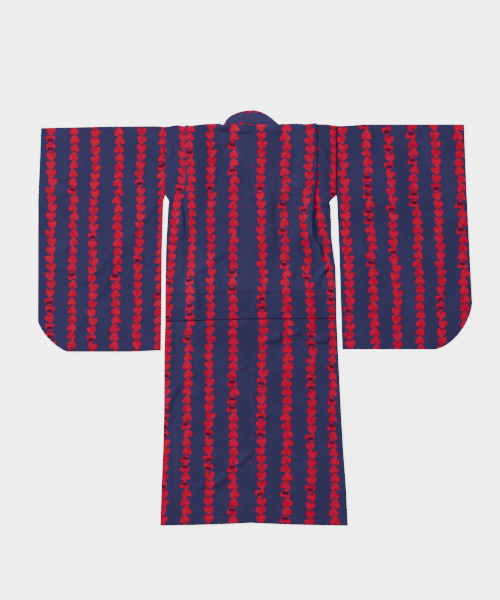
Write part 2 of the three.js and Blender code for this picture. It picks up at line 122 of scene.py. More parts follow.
def heart_group():
    """One printed heart as a node group. In: Across and Along in mm from the cell's middle, and
    the chain's and heart's numbers. Out: Edge, below 0 inside the heart, and Mark, 1 in its bar.
    Edge = sqrt(X^2 + (Y - lift |X|^power)^2) - 1, with X, Y the place turned by a small tilt.
    Mark = 1 where |X/half width|^4 + |Y/half height|^4 < 1, on the hearts that carry a bar."""
    group = bpy.data.node_groups.new("printed heart", "ShaderNodeTree")
    for name in ("Across", "Along", "Chain", "Heart"):
        group.interface.new_socket(name, in_out="INPUT", socket_type="NodeSocketFloat")
    for name in ("Edge", "Mark"):
        group.interface.new_socket(name, in_out="OUTPUT", socket_type="NodeSocketFloat")
    given = add(group, "NodeGroupInput").outputs
    number = add(group, "ShaderNodeCombineXYZ", (given["Chain"], given["Heart"]))
    chance = add(group, "ShaderNodeTexWhiteNoise", {"Vector": number}, noise_dimensions="2D")
    three = add(group, "ShaderNodeSeparateXYZ", (chance.outputs["Color"],)).outputs
    sway = add(group, MATHS, (three[0], 2 * HEART_SWAY, -HEART_SWAY), "MULTIPLY_ADD")
    tilt = add(group, MATHS, (three[1], 2 * HEART_TILT, -HEART_TILT), "MULTIPLY_ADD")
    size = add(group, MATHS, (three[2], HEART_SIZE_RANGE, HEART_SMALLEST), "MULTIPLY_ADD")

    x = add(group, MATHS, (given["Across"], sway), "SUBTRACT")
    turned_x = add(group, MATHS, (tilt, given["Along"], x), "MULTIPLY_ADD")
    drop = add(group, MATHS, (tilt, x), "MULTIPLY")
    turned_y = add(group, MATHS, (given["Along"], drop), "SUBTRACT")
    width = add(group, MATHS, (size, HEART_HALF_WIDTH), "MULTIPLY")
    height = add(group, MATHS, (size, -HEART_UNIT_HEIGHT), "MULTIPLY")
    unit_x = add(group, MATHS, (turned_x, width), "DIVIDE")
    unit_y = add(group, MATHS, (turned_y, height), "DIVIDE")
    raised = add(group, MATHS, (unit_y, HEART_MIDDLE), "ADD")
    aside = add(group, MATHS, (unit_x,), "ABSOLUTE")
    rounded = add(group, MATHS, (aside, LOBE_POWER), "POWER")
    lobe = add(group, MATHS, (rounded, LOBE_LIFT), "MULTIPLY")
    below = add(group, MATHS, (raised, lobe), "SUBTRACT")
    below_squared = add(group, MATHS, (below, below), "MULTIPLY")
    square = add(group, MATHS, (unit_x, unit_x, below_squared), "MULTIPLY_ADD")
    root = add(group, MATHS, (square,), "SQRT")
    edge = add(group, MATHS, (root, 1.0), "SUBTRACT")

    bar = []
    for turned, half in zip((turned_x, turned_y), MARK_HALF):
        share = add(group, MATHS, (turned, half), "DIVIDE")
        share = add(group, MATHS, (share,), "ABSOLUTE")
        bar.append(add(group, MATHS, (share, MARK_POWER), "POWER"))
    bar = add(group, MATHS, bar, "ADD")
    in_bar = add(group, MATHS, (bar, 1.0), "LESS_THAN")
    chosen = add(group, MATHS, (chance.outputs["Value"], MARK_SHARE), "LESS_THAN")
    mark = add(group, MATHS, (in_bar, chosen), "MULTIPLY")
    add(group, "NodeGroupOutput", {"Edge": edge, "Mark": mark})
    return group


def printed_cotton(name, ground):
    """Cotton with the chains of hearts worked out from the piece's own cloth coordinates, in
    metres: U across the chains and V down them. It is matt, with a dull sheen at low angles, and
    close up it shows uneven yarns, a fine weave and a dark line of dye round each heart."""
    material, shader = new_material(name)
    tree = material.node_tree
    cloth = add(tree, "ShaderNodeUVMap", uv_map="cloth")
    millimetres = add(tree, "ShaderNodeVectorMath", {0: cloth, "Scale": 1000.0}, "SCALE")

    # Chains are numbered across, and hearts down each chain from a start of its own.
    across, along, _ = add(tree, "ShaderNodeSeparateXYZ", (millimetres,)).outputs
    pitches = add(tree, MATHS, (across, COLUMN_PITCH), "DIVIDE")
    chain = add(tree, MATHS, (pitches,), "ROUND")
    middle = add(tree, MATHS, (chain, COLUMN_PITCH), "MULTIPLY")
    from_middle = add(tree, MATHS, (across, middle), "SUBTRACT")
    remainder = add(tree, MATHS, (chain, 2.0), "MODULO")
    odd = add(tree, MATHS, (remainder,), "ABSOLUTE")
    way = add(tree, MATHS, (odd, -2.0, 1.0), "MULTIPLY_ADD")
    chain_number = add(tree, "ShaderNodeCombineXYZ", (chain, CHAIN_DRAW))
    start = add(tree, "ShaderNodeTexWhiteNoise", {"Vector": chain_number}, noise_dimensions="2D")
    down_chain = add(tree, MATHS, (along, way), "MULTIPLY")
    run = add(tree, MATHS, (down_chain, 1 / HEART_PITCH, start.outputs["Value"]), "MULTIPLY_ADD")
    heart = add(tree, MATHS, (run,), "FLOOR")
    share = add(tree, MATHS, (run, heart), "SUBTRACT")
    from_half = add(tree, MATHS, (share, 0.5), "SUBTRACT")
    in_cell = add(tree, MATHS, (from_half, HEART_PITCH), "MULTIPLY")

    group = heart_group()
    edge = None
    mark = None
    for neighbour in (-1, 0, 1):
        one = add(tree, "ShaderNodeGroup", {
            "Across": from_middle, "Chain": chain,
            "Along": add(tree, MATHS, (in_cell, neighbour * HEART_PITCH), "SUBTRACT"),
            "Heart": add(tree, MATHS, (heart, neighbour), "ADD")},
            node_tree=group).outputs
        edge = add(tree, MATHS, (edge, one["Edge"]), "MINIMUM") if edge else one["Edge"]
        mark = add(tree, MATHS, (mark, one["Mark"]), "MAXIMUM") if mark else one["Mark"]

    # Dye: slow fading over hand widths, and slubs a few threads wide along both yarns.
    fading = add(tree, NOISE, {"Vector": millimetres, "Scale": FADING_SCALE, "Detail": 3.0})
    slubs = []
    for scale in (SLUB_SCALE, SLUB_SCALE[::-1]):
        stretched = add(tree, "ShaderNodeMapping", {"Vector": millimetres, "Scale": (*scale, 1.0)})
        slubs.append(add(tree, NOISE, {"Vector": stretched, "Scale": 1.0, "Detail": 2.0}))
    slubs = add(tree, MATHS, slubs, "ADD")
    slubs = add(tree, MATHS, (slubs, 0.5), "MULTIPLY")
    fade = add(tree, RANGE, {"Value": fading, 1: 0.35, 2: 0.65})
    navy = add(tree, MIX, {"Factor": fade, 6: linear(ground[0]), 7: linear(ground[1])},
               data_type="RGBA").outputs[2]
    rim = add(tree, RANGE, {"Value": edge, 1: RIM_REACH[0], 2: RIM_REACH[1]},
              interpolation_type=SMOOTH)
    rimmed = add(tree, MIX, {"Factor": rim, 6: navy, 7: linear(NAVY_RIM)},
                 data_type="RGBA").outputs[2]
    ink = add(tree, NOISE, {"Vector": millimetres, "Scale": INK_SCALE, "Detail": 1.0})
    fresh = add(tree, RANGE, {"Value": ink, 1: 0.38, 2: 0.62})
    red = add(tree, MIX, {"Factor": fresh, 6: linear(HEART_RED[0]), 7: linear(HEART_RED[1])},
              data_type="RGBA").outputs[2]
    marked = add(tree, MIX, {"Factor": mark, 6: red, 7: linear(MARK_DARK)},
                 data_type="RGBA").outputs[2]
    inside = add(tree, RANGE, {"Value": edge, 1: PRINT_EDGE, 2: -PRINT_EDGE},
                 interpolation_type=SMOOTH)
    colour = add(tree, MIX, {"Factor": inside, 6: rimmed, 7: marked}, data_type="RGBA").outputs[2]
    shade = add(tree, RANGE,
                {"Value": slubs, 1: 0.35, 2: 0.65, 3: SLUB_SHADE[0], 4: SLUB_SHADE[1]})
    dyed = add(tree, "ShaderNodeVectorMath", {0: colour, "Scale": shade.outputs[0]}, "SCALE")

    # Weave: one thread over, one under, as two crossed waves, with the slubs standing proud.
    threads = [add(tree, "ShaderNodeTexWave",
                   {"Vector": millimetres, "Scale": WAVE_PERIOD / THREAD_SPACING,
                    "Distortion": WAVE_WANDER}, bands_direction=axis).outputs["Fac"]
               for axis in "XY"]
    weave = add(tree, MATHS, threads, "MULTIPLY")
    weave = add(tree, MATHS, (weave, WEAVE_RELIEF), "MULTIPLY")
    relief = add(tree, MATHS, (slubs, SLUB_RELIEF, weave), "MULTIPLY_ADD")
    bump = add(tree, "ShaderNodeBump",
               {"Height": relief, "Strength": RELIEF_STRENGTH, "Distance": RELIEF_HEIGHT})
    rough = add(tree, RANGE, {"Value": slubs, 3: SLUB_ROUGHNESS[0], 4: SLUB_ROUGHNESS[1]})
    fill(shader, {"Base Color": dyed, "Normal": bump, "Roughness": rough,
                  "Specular IOR Level": 0.05, "Sheen Weight": 0.03, "Sheen Roughness": 0.5})
    return material


cotton = printed_cotton("plain-weave cotton, printed", NAVY)


# ---- Body panels -----------------------------------------------------------------------------
# Each half of the body is one length of cotton that goes from the front hem over the shoulder to
# the back hem. A pleat is sewn along each shoulder and another round the waist, and the two
# halves meet at the back seam. Sizes are in mm, from the back seam out and the shoulder down.

WALL = 1.0               # one layer of the solids
GAP = 0.3                # between two layers, and between two sewn edges
STEP = WALL + GAP
TURN = STEP / 2          # radius of the cloth's middle where it is folded
CLOTH = 0.7              # thickness of the sheet that is seen
BACK_EASE = 0.15         # that the back lies above the fronts
LENGTH = 841.0           # from the shoulder fold to the hem
HEM_RISE, HEM_REACH, HEM_POWER = 6.0, 200, 1.6
FRONT_HEM_LIFT = 3.0     # that the fronts end above the back's hem
HEM_DEPTH = 17.0
HALF_BACK = 179.6
ARMHOLE = 148.0
TUCK_FOLD = 137.0        # fold of the shoulder tuck
TUCK_DEPTH = 17.0
WAIST_STITCH = 352.2
STITCH_SLANT = {-1: -0.03, 1: -0.008}  # mm lower for each mm along x, left and right
WAIST_DEPTH = 53.0
NECK_HALF = 62.0
NECK_FADE = 20.0         # from the neck's corner inwards, the back's top edge comes up to the seam
NECK_EDGE = 0.01         # so that the corner itself keeps its place
TOP_ROW = 2              # where the fold over the shoulder starts and ends
COLLAR_WALL = 2.0
COLLAR_WIDTH = 45.0
COLLAR_NECK_WIDTH = 8.0  # of the collar beside the neck; it is at its full width below this:
COLLAR_FULL_DOWN = 120
COLLAR_RISE = 31.0
COLLAR_FOOT = 318.0
COLLAR_FOOT_SLANT = 30.0
FRONT_SEAM = HALF_BACK - 164.0  # a front is 164 mm wide
TUCK_INSIDE = 84         # the column of a front that ends its shoulder tuck's stretch
OVERLAP_EDGE = 95.0      # that a front's free edge lies past the back seam
COLLAR_SLOPE = (NECK_HALF + OVERLAP_EDGE - COLLAR_WIDTH) / (COLLAR_FOOT + COLLAR_FOOT_SLANT)
SEAM_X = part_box("body_left")[1][0] + GAP / 2000
SHOULDER_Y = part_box("collar")[1][1] - COLLAR_RISE / 1000

# How cloth settles past what lies under it: the distance it keeps its height, and the fade.
SETTLES = {"edge": (22.0, 44.0), "waist tuck": (6, 64), "shoulder tuck": (5, 60)}
TUCK_MARGIN = (6, 2)     # that the shoulder tuck's bulk reaches past its fold and its inner edge

# Half width of the body at each distance down: back left, back right, front right.
BODY_EDGE = np.array([
    (0, 179.6, 179.6, 179.6), (148, 179.6, 179.6, 179.6), (160, 171.5, 163, 165),
    (175, 174, 166.5, 168), (200, 175, 168.5, 167.5), (230, 177, 169, 168),
    (262, 178.5, 172.5, 171.5), (300, 179, 178, 177), (407, 180, 180, 179),
    (470, 182, 183, 182), (600, 182.5, 189.5, 188.5), (680, 184.5, 194, 193),
    (760, 188, 200, 199), (841, 190.5, 204, 202)], dtype=float)

# How each shoulder tuck opens below its last stitch: distance down, pleat depth, how far the
# columns have spread to even spacing, ridge height in layers' share, and the fold's own drift.
TUCK_OPENS = {
    -1: np.array([(0, 17, 0, 1, 0), (150, 17, 0, 1, 0), (180, 1, 0, 1, 0), (205, 1, 0.15, 0.8, 0),
                  (240, 1, 0.45, 0.35, 0), (272, 1, 1, 0, 0)]),
    1: np.array([(0, 17, 0, 1, 0), (105, 17, 0, 1, 0), (128, 17, 0, 1, -2), (150, 17, 0, 1, -5),
                 (180, 1, 0, 1, -7.5), (205, 1, 0.02, 1, -7.5), (232, 1, 0.08, 0.85, -5),
                 (250, 1, 0.4, 0.4, -3), (276, 1, 1, 0, 0)]),
}


def read(table, column, down):
    """The table's column at a distance down, in straight lines between its rows."""
    return np.interp(down, table[:, 0], table[:, column])


def ease(t):
    """3 t^2 - 2 t^3: from 0 to 1, level at both ends."""
    return t * t * (3 - 2 * t)


def settle(distance, hold, fade):
    """1 up to hold, then 1 - ease(t) with t from 0 to 1 over the fade."""
    return 1 - ease(np.clip((distance - hold) / fade, 0, 1))


def stitch_line(x):
    """Where the waist tuck is stitched: lower towards the left side, a little higher right."""
    return WAIST_STITCH + np.where(x < 0, STITCH_SLANT[-1] * x, STITCH_SLANT[1] * x)


def hem_line(x):
    """Where the hem lies: length - rise * (1 - |x|/reach)^power, so highest at the back seam."""
    return LENGTH - HEM_RISE * (1 - np.abs(x) / HEM_REACH).clip(0) ** HEM_POWER


def collar_seam(down):
    """Collar seam on a front, as x towards its own side: a straight slant from the neck."""
    return NECK_HALF - COLLAR_SLOPE * down


def collar_free(down):
    """Free edge of the collar on a front: the seam less the band's width, 8 mm at the neck."""
    widens = np.clip(down / COLLAR_FULL_DOWN, 0, 1)
    return collar_seam(down) - (COLLAR_NECK_WIDTH + (COLLAR_WIDTH - COLLAR_NECK_WIDTH) * widens)


def front_bulk(side, x, down):
    """Height that one front gives to what lies on it: one layer, two more in its waist tuck and
    shoulder tuck, and the collar's extra thickness, each settling smoothly past its edge."""
    across = side * x
    fold = TUCK_FOLD + read(TUCK_OPENS[side], 4, down)
    reach = np.minimum(-collar_free(down), OVERLAP_EDGE)
    covered = settle(-across - reach, *SETTLES["edge"])
    above_waist = stitch_line(x) - down
    below_waist = down - stitch_line(x) - WAIST_DEPTH
    from_waist = np.maximum(above_waist, below_waist).clip(0)
    from_collar = np.maximum(across - collar_seam(down), collar_free(down) - across).clip(0)
    below_foot = settle(down - COLLAR_FOOT - COLLAR_FOOT_SLANT, *SETTLES["edge"])
    from_tuck = np.maximum(across - fold - TUCK_MARGIN[0],
                           fold - TUCK_DEPTH - TUCK_MARGIN[1] - across).clip(0)
    waist = 2 * STEP * settle(from_waist, *SETTLES["waist tuck"]) * covered
    collar = (COLLAR_WALL - WALL) * settle(from_collar, *SETTLES["edge"]) * below_foot
    tuck = 2 * STEP * read(TUCK_OPENS[side], 3, down)
    tuck = tuck * settle(from_tuck, *SETTLES["shoulder tuck"])
    return STEP * covered + waist + collar + tuck


# Creases that show, as soft ridges: from a start to an end (x, down), the width of the side that
# rises slowly, the width of the steep side to the lower right, and the height. Those of "through"
# are pressed into every layer, so that they show from beneath as well.
CREASES = {
    "through": [
        # start x, down; end x, down; slow side, steep side; height
        (-62, 470, -44, 560, 16, 10, 1.0), (60, 500, 52, 590, 16, 10, 0.9),
        (150, 560, 160, 660, 16, 9, 1.0), (-140, 660, -128, 790, 18, 10, 0.9),
        (20, 600, 34, 730, 18, 12, 0.8), (-300, 60, -290, 190, 18, 12, 0.6),
        (-396, 150, -404, 330, 18, 12, 0.6), (300, 90, 312, 210, 18, 12, 0.6),
        (392, 180, 402, 330, 18, 12, 0.6), (-90, 60, -84, 150, 14, 9, 0.7)],
    "back": [
        # the neck and the shoulders
        (-80, 3, -46, 13, 9, 3, 4.4), (-33, 13, 6, 12, 8, 3, 3.0), (32, 8, 64, 17, 8, 4, 2.8),
        (-76, 37, -43, 39, 6, 3, 1.4), (-166, 33, -170, 76, 6, 3, 1.2),
        (58, 122, 112, 133, 7, 3, 2.6),
        (60, 138, 104, 144, 6, 3, 1.6), (137, 34, 160, 68, 7, 3, 2.8),
        (131, 80, 164, 110, 7, 3, 2.6),
        (33, 132, 41, 206, 20, 7, 2.8), (40, 204, 47, 258, 16, 5, 2.2),
        (8, 165, 14, 225, 10, 6, 1.0),
        # below the left shoulder's tuck
        (-183, 146, -164, 164, 6, 3, 2.4), (-153, 150, -144, 242, 9, 3.5, 2.7),
        (-145, 262, -150, 322, 7, 3.5, 2.4), (-50, 257, -120, 303, 5, 8, 1.6),
        (-124, 309, -90, 300, 7, 3, 2.0), (-124, 304, -114, 410, 12, 3.5, 2.5),
        (-53, 278, -50, 336, 7, 4, 1.2),
        # below the right shoulder's tuck
        (128, 150, 124, 200, 12, 5, 3.4), (123, 188, 132, 243, 9, 4.5, 4.2),
        (130, 236, 152, 284, 6, 3, 3.4),
        (163, 296, 147, 313, 5, 2.4, 3.6), (149, 307, 136, 338, 6, 3, 2.8),
        (146, 160, 166, 168, 6, 3, 2.8), (151, 178, 160, 204, 6, 3, 2.2),
        (86, 284, 82, 334, 8, 4, 1.4),
        (12, 270, 9, 400, 9, 4, 1.2),
        # below the waist's tuck
        (26, 450, 66, 448, 11, 4, 3.6), (80, 441, 106, 432, 10, 4, 2.2),
        (126, 450, 164, 453, 11, 4, 4.2),
        (-152, 540, -172, 582, 12, 5, 2.4), (-169, 575, -177, 604, 8, 4, 1.8),
        (-84, 758, -46, 734, 11, 5.5, 2.8), (-120, 761, -96, 757, 8, 4, 1.6),
        (-27, 716, -11, 696, 8, 4, 2.0), (-13, 697, 6, 682, 8, 4, 1.8),
        (80, 700, 108, 696, 8, 4, 1.6),
        (-105, 550, -122, 577, 9, 5, 1.2), (-32, 516, -6, 503, 8, 4, 1.4),
        (33, 514, 57, 519, 8, 4, 1.2),
        (-118, 611, -87, 662, 10, 6, 1.0), (74, 607, 94, 599, 8, 5, 0.9),
        (182, 520, 196, 790, 14, 6, 1.8),
        (-160, 630, -158, 790, 8, 4, 1.0)],
    "left sleeve": [
        (-192, 144, -228, 208, 11, 5, 1.2), (-224, 190, -276, 250, 11, 5, 0.9),
        (-272, 234, -366, 344, 14, 6, 1.3), (-238, 214, -302, 304, 12, 6, 1.0),
        (-288, 284, -334, 376, 14, 7, 1.3), (-190, 12, -196, 96, 8, 5, 0.9),
        (-380, 110, -408, 113, 7, 4, 0.9), (-380, 140, -410, 148, 7, 4, 0.9),
        (-195, 304, -229, 312, 8, 4, 0.8), (-382, 256, -413, 266, 8, 4, 0.8),
        (-212, 330, -222, 440, 12, 8, 0.7)],
    "right sleeve": [
        (251, 10, 245, 58, 8, 5, 1.1), (204, 194, 234, 222, 7, 4, 0.9),
        (225, 216, 239, 276, 10, 5, 0.9),
        (338, 330, 352, 430, 12, 8, 0.7),
        (232, 300, 238, 420, 12, 8, 0.6), (372, 14, 380, 92, 12, 8, 0.6),
        (398, 190, 434, 208, 8, 4, 1.4),
        (352, 168, 384, 178, 8, 4, 1.1)],
}
AWAY_FROM_LIGHT = np.array((0.8, 0.6))  # a crease's steep side faces this way, as (x, down)
CREASE_BEND = 16         # a crease's line bends by its length over this
CREASE_ENDS = 0.6        # power: below 1, a crease keeps its height almost to its ends


def creased(name, x, down):
    """Sum over the creases of height * exp(-(d/w)^2) * sin(pi t)^0.6, with t the share along the
    line, d the distance from it and w the width on that side. Each line bends by a 16th."""
    total = 0
    for start_x, start_down, end_x, end_down, slow, steep, height in CREASES[name]:
        run = np.array((end_x - start_x, end_down - start_down))
        length = math.hypot(*run)
        aside = np.array((run[1], -run[0])) / length
        aside = aside * np.sign(aside @ AWAY_FROM_LIGHT)
        from_x, from_down = x - start_x, down - start_down
        t = np.clip((from_x * run[0] + from_down * run[1]) / length ** 2, 0, 1)
        rise = np.sin(np.pi * t)
        d = from_x * aside[0] + from_down * aside[1] - length / CREASE_BEND * rise
        width = np.where(d < 0, slow, steep)
        total = total + height * np.exp(-(d / width) ** 2) * rise ** CREASE_ENDS
    return total


UNEVEN_HEIGHT = 0.35     # half of the most that the cloth rises between its creases


def uneven(x, down):
    """Slow rises and falls of up to 0.7 mm: height * (1 + a product of two crossed sine waves),
    whose lengths are 2 pi times 31, 87, 43 and 71 mm."""
    crossed = np.sin(x / 31 + down / 87) * np.sin(down / 43 - x / 71)
    return UNEVEN_HEIGHT * (1 + crossed)


FRONTS = {-1: "left front", 1: "right front"}


def underside(sheet, x, down):
    """Height of a layer's underside: the creases pressed through all of them, and the bulk of
    the fronts beneath it. The left front is on the floor, the right one on it, the back on both."""
    pressed = creased("through", x, down)
    if sheet == "left front":
        return pressed
    if sheet == "right front":
        return pressed + front_bulk(-1, x, down)
    return pressed + front_bulk(-1, x, down) + front_bulk(1, x, down) + BACK_EASE


STITCH_DROP = 1.2        # from the waist tuck's stitch line down to the thread that shows
DENT_WIDTH = 1.4
TUCK_DENT, HEM_DENT = 0.5, 0.4
PUCKER_SHARE, PUCKER_PITCH = 0.3, 9


def stitched_in(x, down):
    """Depth of the two lines that stitches pull in, along the waist tuck and above the hem: each
    depth * exp(-(distance/width)^2), and a third deeper every 9 mm."""
    from_tuck = down - stitch_line(x) - STITCH_DROP
    from_hem = down - hem_line(x) + HEM_DEPTH
    pucker = 1 + PUCKER_SHARE * np.sin(2 * np.pi * x / PUCKER_PITCH)
    return pucker * (TUCK_DENT * np.exp(-(from_tuck / DENT_WIDTH) ** 2)
                     + HEM_DENT * np.exp(-(from_hem / DENT_WIDTH) ** 2))


def dense(steps):
    """Places between stations: the station before each, and the share of the way to the next."""
    before = np.concatenate([np.full(n, i) for i, n in enumerate(steps)] + [[len(steps) - 1]])
    share = np.concatenate([np.arange(n) / n for n in steps] + [[1.0]])
    return before, share


# How far the fold along the shoulders stands above its straight line, where the cloth is pushed
# up or pulled down as it lies: x from the back seam, and the rise.
SHOULDER_FADE = 45
SHOULDER_LINE = np.array([
    (-440, 0), (-300, 0.6), (-200, -0.5), (-173, -3), (-155, 0), (-125, -3), (-105, -0.6),
    (-92, 2), (-75, 3), (-30, 1.5), (0, 0.5), (30, 1.5), (60, 3.2), (95, 2.4), (112, 0),
    (125, 1.2), (140, 3), (158, 1), (178, -0.6), (200, 0), (215, 1), (235, 2.8), (440, 3.4)])


def in_metres(points):
    """Points in mm from the back seam and the shoulder, moved to the frame. The shoulder line's
    rise is added to y: all of it at the fold, none 45 mm below, and settling between."""
    rise = np.interp(points[..., 0], *SHOULDER_LINE.T)
    points[..., 1] += rise * settle(-points[..., 1], 0, SHOULDER_FADE)
    return points.reshape(-1, 3) * 0.001 + np.array((SEAM_X, SHOULDER_Y, 0))


def cells(number):
    """The four corners of each cell of a grid of numbered points, going round the cell."""
    return np.stack([number[:-1, :-1], number[:-1, 1:], number[1:, 1:], number[1:, :-1]], axis=-1)


def put(name, data):
    """An object that holds the data, linked to the scene."""
    thing = bpy.data.objects.new(name, data)
    bpy.context.scene.collection.objects.link(thing)
    return thing


def cloth_piece(name, node, points, uv, keep=None, close_rows=False, thickness=CLOTH,
                material=cotton):
    """A thin sheet from a grid of points (rows, columns, 3) in mm from the back seam and the
    shoulder, with UVs in metres of cloth. Solidify gives it its thickness, half on each side."""
    number = np.arange(points[..., 0].size).reshape(points.shape[:2])
    if close_rows:
        number = np.vstack([number, number[:1]])
    quads, uv_quads = cells(number), cells(np.arange(uv[..., 0].size).reshape(uv.shape[:2]))
    if keep is not None:
        quads, uv_quads = quads[keep], uv_quads[keep]
    used, quads = np.unique(quads, return_inverse=True)
    mesh = bpy.data.meshes.new(name)
    mesh.from_pydata(in_metres(points)[used], [], quads.reshape(-1, 4).tolist())
    layer = mesh.uv_layers.new(name="cloth")
    layer.data.foreach_set("uv", uv.reshape(-1, 2)[uv_quads.reshape(-1)].ravel())
    mesh.shade_smooth()
    mesh.materials.append(material)
    piece = put(name, mesh)
    wall = piece.modifiers.new("cloth thickness", "SOLIDIFY")
    wall.thickness = thickness * 0.001
    wall.offset = 0.0
    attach(piece, "root")
    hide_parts(node)
    return piece


# Columns of a panel from the side inwards: place from the shoulder tuck's fold, how far it
# follows the pleat's depth, its layer on the back, its order among the cut's columns, and the
# number of steps to the next one. Layers on the front run the other way up.
TURNS = [(TURN * math.sin(a), (1 - math.cos(a)) / 2, 3 * a / math.pi)
         for a in np.radians([36, 72, 108, 144])]  # round a fold: reach, layers up, order
INNER_TURN = [(-reach, 1, up, 3 + order, 1) for reach, up, order in TURNS]
OUTER_TURN = [(reach, 0, 1 + up, 7 + order, 1) for reach, up, order in TURNS]
TUCK_COLUMNS = np.array([
    (42.45, 0, 0, 0, 7), (24, 0, 0, 1, 8), (4, 0, 0, 2, 7), (0, 1, 0, 3, 1), *INNER_TURN,
    (0, 1, 1, 6, 4), (0, 0, 1, 7, 1), *OUTER_TURN, (0, 0, 2, 10, 8), (-19, 0, 2, 11, 13),
    (-53, 0, 0, 12, 5)])
TUCK_ORDERS = (2, 11)            # columns of these orders and between are raised by the tuck
INNER_FOLD, FOLD_TO_FOLD = 3, 7  # order of its inner fold, and from there to the outer one

# The columns between the tuck and the back seam, or the front seam. The last cell of the back is
# narrow down its whole length, so that the shading of the cloth's turned edge stays inside it.
BACK_INSIDE = np.array([73, 62, 42, 21, 0.2, 0])
BACK_INSIDE_ORDER = np.array([13, 14, 15, 16, 17.98, 18])
BACK_INSIDE_STEPS = [4, 8, 8, 9, 1]
FRONT_INSIDE_ORDER = np.array([13, 14])
FRONT_INSIDE_STEPS = [4]
SEAM_DIP, SEAM_DIP_WIDTH = 0.2, 0.8  # mm that the cloth turns down at the back seam

# Rows of a panel from the hem up: the line each is measured from (0 hem, 1 flap, 2 stitches,
# 3 shoulder), the distance below it, the layer on the back, and on the front.
PRESSED = 0.62           # share of a layer's step that is left where the flap is pressed flat
FLAP_TURN = [(1, reach, PRESSED * (1 + up), 1 - up) for reach, up, _ in TURNS]
STITCH_TURN = [(2, -reach, up, 2 - up) for reach, up, _ in TURNS]
ROWS = np.array([
    (0, 0, 0, 0), (0, -HEM_DEPTH + 3, 0, 0), (0, -HEM_DEPTH - 3, 0, 0), (3, 740, 0, 0),
    (3, 640, 0, 0), (3, 545, 0, 0), (1, 75, 0, 0), (1, 36, 0, 0), (1, 3, 0, 2), (2, 0, 0, 2),
    *STITCH_TURN, (2, 0, 1, 1), (1, 0, PRESSED, 1), *FLAP_TURN, (1, 0, 2 * PRESSED, 0),
    (2, 4, 2, 0), (2, -2, 2, 0), (2, -35, 0, 0), (3, 272, 0, 0), (3, 205, 0, 0), (3, 148, 0, 0),
    (3, 72, 0, 0), (3, TOP_ROW, 0, 0)])
BACK_STEPS = [6, 7, 28, 36, 34, 24, 14, 12, 4, *[1] * 5, 2, *[1] * 5, 18, 7, 12, 16, 24, 22, 28, 26]
FRONT_STEPS = [2, 1, 5, 6, 6, 5, 4, 5, 5, *[1] * 5, 3, *[1] * 5, 4, 1, 5, 6, 8, 8, 8, 10]
SHOULDER_TURN = 8        # points round half a turn of the shoulder fold, ends included
CREASE_START = 4         # mm below the shoulder over which the back's creases set in
BODY_CUT = 20            # chains of cloth between the stretches that two pieces are cut from

# Where the chains of hearts lie on each side: a chain's number, then pairs of (down, x). Even
# numbers point down. On the outer side of the shoulder tuck the chain is hidden by the pleat.
CHAINS = {
    -1: {-1: [(0, -37.0)], -2: [(0, -84.6), (400, -84.6), (440, -88.4)],
         -3: [(0, -127.7), (200, -125), (241, -122.4), (262, -123.9), (308, -128.1), (409, -125.6),
              (440, -131), (829, -138.2)],
         -4: [(0, -141.2), (110, -142), (138, -148), (155, -153.3), (210, -160.2), (283, -165.7),
              (325, -170.5), (367, -174), (577, -178), (829, -185.4)]},
    1: {0: [(0, 23.3), (157, 20.4), (367, 25.2), (829, 20.4)],
        1: [(0, 73.9), (199, 68.7), (367, 74.8)],
        2: [(0, 123), (120, 122), (151, 113.8), (205, 110), (241, 114.5), (266, 120.1),
        (304, 116.5),
            (342, 122.2), (405, 125.4), (430, 129.6), (829, 125)],
        3: [(0, 132.7), (123, 134.9), (170, 136.9), (212, 147.4), (245, 157), (281, 159.4),
            (333, 170.3), (451, 171.1), (640, 171.1), (745, 176.8), (829, 173.9)],
        4: [(0, 173.7), (150, 173.7), (200, 192), (829, 222)]},
}


TUCK_CHAINS = {-1: (-4, -3), 1: (3, 2)}  # outside the shoulder tuck's fold, and inside it
TUCK_OPENING = 100       # mm below the armhole over which the tuck's cloth comes into view


def chain_places(paths, down):
    """x of each chain at a distance down, in straight lines between its points."""
    return {n: np.interp(down, *np.array(paths[n], dtype=float).T) for n in paths}


def chain_number(places, x):
    """The chain number at each place, in straight lines between the chains on each side of it,
    and one to every 48 mm past the outermost ones."""
    numbers = sorted(places)
    count = numbers[0] + np.minimum(x - places[numbers[0]], 0) / COLUMN_PITCH
    for a, b in zip(numbers, numbers[1:]):
        gap = np.maximum(places[b] - places[a], 1.0)
        count = count + np.clip((x - places[a]) / gap, 0, 1)
    return count + np.maximum(x - places[numbers[-1]], 0) / COLUMN_PITCH


def body_chains(side, x, down, into_tuck):
    """Chain number on a body panel's back. Inside the shoulder tuck's fold and outside it the
    cloth is read from different chains, one pitch apart where the pleat hides them, until it
    opens. The two counts are mixed in straight lines over the pleat."""
    outer, inner = TUCK_CHAINS[side]
    opened = np.clip((down - ARMHOLE) / TUCK_OPENING, 0, 1)
    places = chain_places(CHAINS[side], down)
    pitch = side * COLUMN_PITCH * (1 - opened)
    near = dict(places)
    near[outer] = places[inner] + pitch + (places[outer] - places[inner]) * opened
    if side > 0:
        near[4] = near[3] + COLUMN_PITCH
    far = {n: places[n] for n in places if side * n >= side * inner}
    far[inner] = places[outer] - pitch + (places[inner] - places[outer]) * opened
    return chain_number(near, x) * (1 - into_tuck) + chain_number(far, x) * into_tuck


def line_down(row, x, lift):
    """Distance down of one row's line at x: where it is measured from, and how far below."""
    starts = (hem_line(x) - lift, stitch_line(x) + WAIST_DEPTH, stitch_line(x), np.zeros_like(x))
    return starts[int(row[0])] + row[1]


def between(values, before, share):
    """Values at dense places: a + (b - a) * share, from the station before to the next one."""
    return values[before] + (values[before + 1] - values[before]) * share


